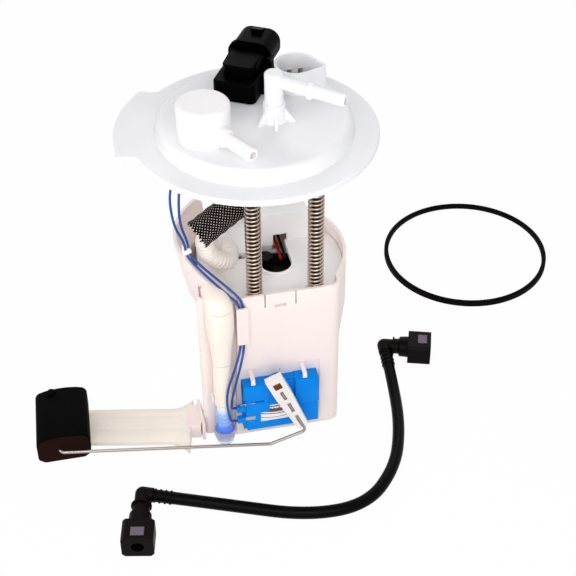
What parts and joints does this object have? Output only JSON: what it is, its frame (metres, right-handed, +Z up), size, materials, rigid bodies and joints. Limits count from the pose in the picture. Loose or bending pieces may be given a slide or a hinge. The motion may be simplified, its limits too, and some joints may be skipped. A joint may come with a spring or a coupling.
{
  "type": "fuel pump module",
  "caption": "In-tank fuel pump module: flange with roll-over valve and pressure sensor, sprung reservoir with pump and level sender, strainer, ring seal and jumper hose.",
  "frame": {"origin": "centre of the flange's seating face, at the head of its locating spigot", "axes": "+Z up out of the tank along the guide rods, -Y towards the side that carries the level sender, +X right when facing that side"},
  "size_m": [0.4032, 0.3067, 0.2516],
  "materials": {
    "flange_acetal": "moulded white acetal, slightly translucent",
    "reservoir_acetal": "moulded natural acetal",
    "tube_nylon": "natural polyamide, faintly yellow",
    "sensor_plastic": "black glass-filled polyamide",
    "connector_plastic": "dark glass-filled polyamide",
    "hose_plastic": "black polyamide tube",
    "button_plastic": "grey acetal",
    "rod_steel": "ground stainless steel",
    "spring_steel": "stainless spring wire",
    "pump_metal": "drawn and plated steel",
    "bush_plastic": "natural acetal bearing",
    "rubber": "fuel-resistant rubber",
    "filter_paper": "pleated filter paper",
    "strainer_mesh": "woven polyamide strainer cloth",
    "sleeve_mesh": "braided black sleeve",
    "plug_plastic": "clear blue plastic",
    "collar_plastic": "clear plastic",
    "sender_plastic": "azure blue acetal",
    "card_ceramic": "ceramic with printed resistor tracks",
    "terminal_metal": "tinned brass",
    "contact_bronze": "phosphor bronze",
    "arm_plastic": "clear natural acetal",
    "float_foam": "closed-cell nitrile foam",
    "wire_blue": "blue wire insulation",
    "wire_red": "red wire insulation",
    "wire_black": "black wire insulation"
  },
  "bodies": {
    "flange": {"flange_plate": "flange_acetal", "socket_blades": "terminal_metal", "harness_plug": "sensor_plastic", "rollover_valve": "flange_acetal", "rollover_float": "reservoir_acetal", "pressure_sensor": "sensor_plastic", "sensor_pins": "terminal_metal", "sensor_grommet": "rubber", "guide_rod_left": "rod_steel", "guide_rod_right": "rod_steel", "rod_end_clips": "spring_steel"},
    "reservoir": {"reservoir_cup": "reservoir_acetal", "pump_carrier": "reservoir_acetal", "guide_bush_left": "bush_plastic", "guide_bush_right": "bush_plastic", "pump_body": "pump_metal", "pump_cap": "sensor_plastic", "pump_inlet": "sensor_plastic", "pump_isolator": "rubber", "pump_lead_red": "wire_red", "pump_lead_black": "wire_black", "outlet_pipe": "tube_nylon", "filter_housing": "tube_nylon", "filter_element": "filter_paper", "pressure_regulator": "pump_metal", "suction_duct": "reservoir_acetal", "jet_pump": "reservoir_acetal", "foot_valve": "rubber", "fill_tube": "tube_nylon", "tube_plug": "plug_plastic", "plug_collar": "collar_plastic", "strainer_neck": "reservoir_acetal", "strainer_sock": "strainer_mesh", "sender_housing": "sender_plastic", "resistor_card": "card_ceramic", "sender_terminals": "terminal_metal", "wire_clip": "reservoir_acetal", "sender_wire_outer": "wire_blue", "sender_wire_inner": "wire_blue", "spring_left": "spring_steel", "spring_right": "spring_steel", "fuel_hose": "tube_nylon", "mesh_sleeve": "sleeve_mesh", "harness_wire_outer": "wire_blue", "harness_wire_inner": "wire_blue", "harness_lead_red": "wire_red", "harness_lead_black": "wire_black"},
    "float_arm": {"arm_holder": "arm_plastic", "contact_bridge": "contact_bronze", "float_wire": "rod_steel", "level_float": "float_foam", "float_clip": "spring_steel"},
    "tank_seal": {"tank_seal": "rubber"},
    "jumper": {"jumper_hose": "hose_plastic", "connector_upper": "connector_plastic", "connector_lower": "connector_plastic", "connector_seal_upper": "rubber", "connector_seal_lower": "rubber"},
    "button_upper": {"release_button_upper": "button_plastic"},
    "button_lower": {"release_button_lower": "button_plastic"}
  },
  "joints": [
    {"name": "reservoir_slide", "type": "slide", "parent": "flange", "child": "reservoir", "axis": [0, 0, 1], "range_m": [0, 0.04], "stiffness_N_per_m": 400, "springref_m": -0.03, "deforming": ["spring_left", "spring_right", "fuel_hose", "mesh_sleeve", "harness_wire_outer", "harness_wire_inner", "harness_lead_red", "harness_lead_black"]},
    {"name": "float_swing", "type": "hinge", "parent": "reservoir", "child": "float_arm", "pos_m": [0.0002, -0.058, -0.1545], "axis": [0, 1, 0], "range_deg": [0, 50]},
    {"name": "seal_lift", "type": "slide", "parent": "flange", "child": "tank_seal", "axis": [0, 0, 1], "range_m": [0, 0.05]},
    {"name": "jumper_lift", "type": "slide", "parent": "flange", "child": "jumper", "axis": [0, 0, 1], "range_m": [0, 0.05]},
    {"name": "button_upper_press", "type": "slide", "parent": "jumper", "child": "button_upper", "axis": [0, 0, -1], "range_m": [0, 0.0013], "stiffness_N_per_m": 500, "springref_m": -0.002},
    {"name": "button_lower_press", "type": "slide", "parent": "jumper", "child": "button_lower", "axis": [0, 0, -1], "range_m": [0, 0.0013], "stiffness_N_per_m": 500, "springref_m": -0.002}
  ]
}
